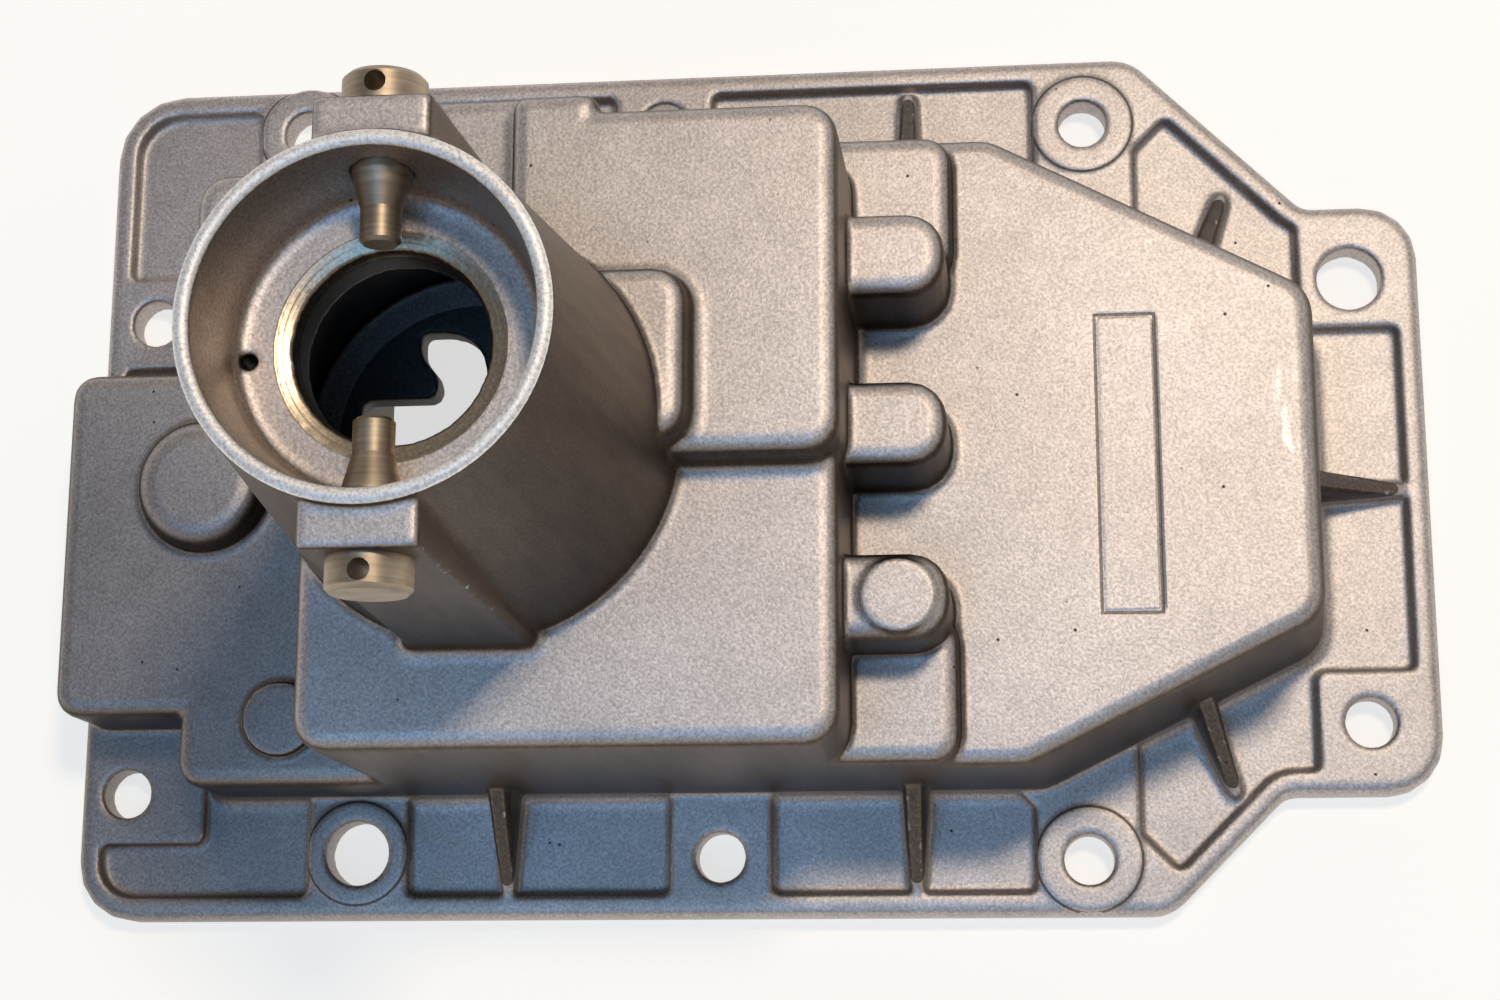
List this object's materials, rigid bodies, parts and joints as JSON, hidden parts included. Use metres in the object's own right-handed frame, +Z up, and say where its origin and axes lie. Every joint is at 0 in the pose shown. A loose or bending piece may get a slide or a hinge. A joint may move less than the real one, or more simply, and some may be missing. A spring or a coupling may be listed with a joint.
{
  "type": "gearbox shifter cover",
  "caption": "Cast aluminium gearbox top cover with a bolting flange, stepped hollow roof, buttress ribs and a round lever turret crossed by two turned pivot pins.",
  "frame": {"origin": "middle of the flange's length and width, on its mounting face", "axes": "+Z up along the lever turret, +X along the shift rails from the low shelf to the tapered nose, +Y across the cover to the far row of bolts"},
  "size_m": [0.2422, 0.1566, 0.1414],
  "materials": {
    "cast_aluminium": "shot blasted die casting, matt, with machined rims, seat and bolt pads",
    "turned_steel": "turned, oiled, brown tinted"
  },
  "bodies": {
    "root": {"cover_casting": "cast_aluminium", "far_pivot_pin": "turned_steel", "near_pivot_pin": "turned_steel"}
  },
  "joints": []
}
